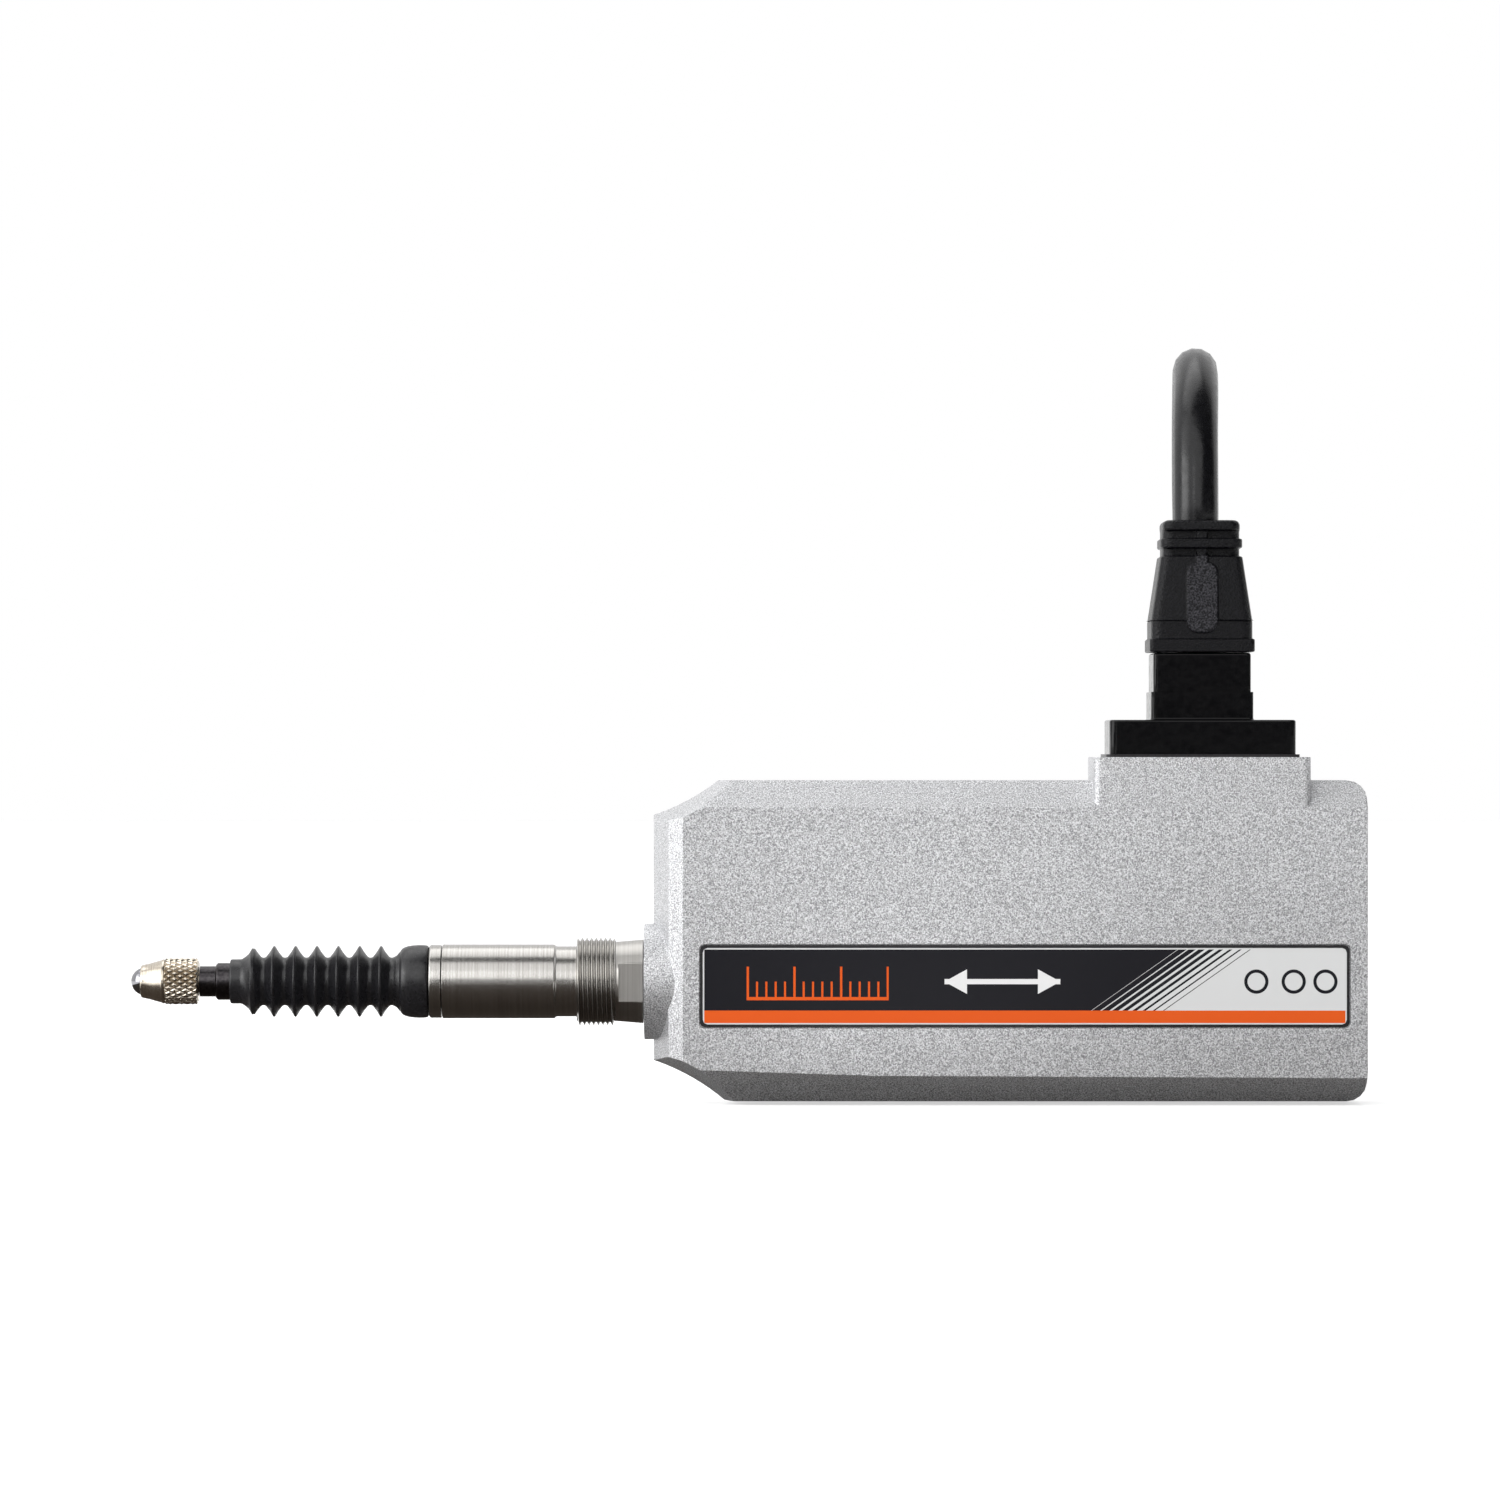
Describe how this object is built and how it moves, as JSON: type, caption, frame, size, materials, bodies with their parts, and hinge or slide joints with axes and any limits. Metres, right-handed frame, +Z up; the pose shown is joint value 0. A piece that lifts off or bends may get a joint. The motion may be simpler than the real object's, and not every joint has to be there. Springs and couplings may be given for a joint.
{
  "type": "linear displacement sensor",
  "caption": "Ball-tipped spring spindle under a rubber bellows, ground clamping stem, flat cast housing with a label strip, and a black plug with its cable on top.",
  "frame": {"origin": "middle of the sensor's length and thickness, on the narrow bottom face that it stands on", "axes": "+X from the ball tip to the rear face, +Z up towards the plug, the label faces -Y"},
  "size_m": [0.1332, 0.108, 0.082],
  "materials": {
    "cast_metal": "fine sparkling silver-grey",
    "ground_steel": "ground",
    "hardened_steel": "dark ground",
    "nickelled_brass": "warm nickel",
    "carbide": "polished",
    "rubber": "satin",
    "gloss_plastic": "gloss",
    "boot_rubber": "matt textured",
    "cable_jacket": "semi-gloss",
    "label_film": "satin",
    "glass": "clear",
    "laminate": "satin",
    "brass": "plain",
    "plain_aluminium": "milled"
  },
  "bodies": {
    "sensor_body": {"housing": "cast_metal", "back_cover": "cast_metal", "cover_gasket": "rubber", "cover_screw_1": "hardened_steel", "cover_screw_2": "hardened_steel", "cover_screw_3": "hardened_steel", "cover_screw_4": "hardened_steel", "label_plate": "label_film", "stem": "ground_steel", "stem_seal": "rubber", "stem_nut": "ground_steel", "front_bush": "ground_steel", "bellows": "rubber", "bump_stop": "rubber", "return_spring": "ground_steel", "spring_rod": "ground_steel", "spring_anchor": "plain_aluminium", "guide_rail": "plain_aluminium", "reader_head": "gloss_plastic", "light_source": "glass", "index_grating": "glass", "circuit_board": "laminate", "signal_chip": "gloss_plastic", "board_header": "boot_rubber", "board_screw_1": "ground_steel", "board_screw_2": "ground_steel", "socket_insert": "gloss_plastic", "socket_lead": "cable_jacket", "plug_gasket": "rubber", "plug_base": "gloss_plastic", "plug_cap": "gloss_plastic", "plug_screw_1": "ground_steel", "plug_screw_2": "ground_steel", "cable_boot": "boot_rubber", "cable": "cable_jacket", "cable_coil": "cable_jacket", "cable_tail": "cable_jacket", "far_plug_grip": "boot_rubber", "far_plug_shell": "nickelled_brass", "far_plug_insert": "gloss_plastic"},
    "spindle_unit": {"spindle": "hardened_steel", "contact_point": "nickelled_brass", "contact_ball": "carbide", "scale_carrier": "plain_aluminium", "carrier_screw": "ground_steel", "glass_scale": "glass", "guide_pin": "ground_steel"},
    "cage_unit": {"ball_cage": "brass"}
  },
  "joints": [
    {"name": "spindle_slide", "type": "slide", "parent": "sensor_body", "child": "spindle_unit", "axis": [1, 0, 0], "range_m": [0, 0.01], "stiffness_N_per_m": 40, "springref_m": -0.015, "deforming": ["bellows", "return_spring"]},
    {"name": "cage_slide", "type": "slide", "parent": "sensor_body", "child": "cage_unit", "axis": [1, 0, 0], "range_m": [0, 0.005]}
  ],
  "couplings": [
    {"joint": "cage_slide", "follows": "spindle_slide", "ratio": 0.5}
  ]
}
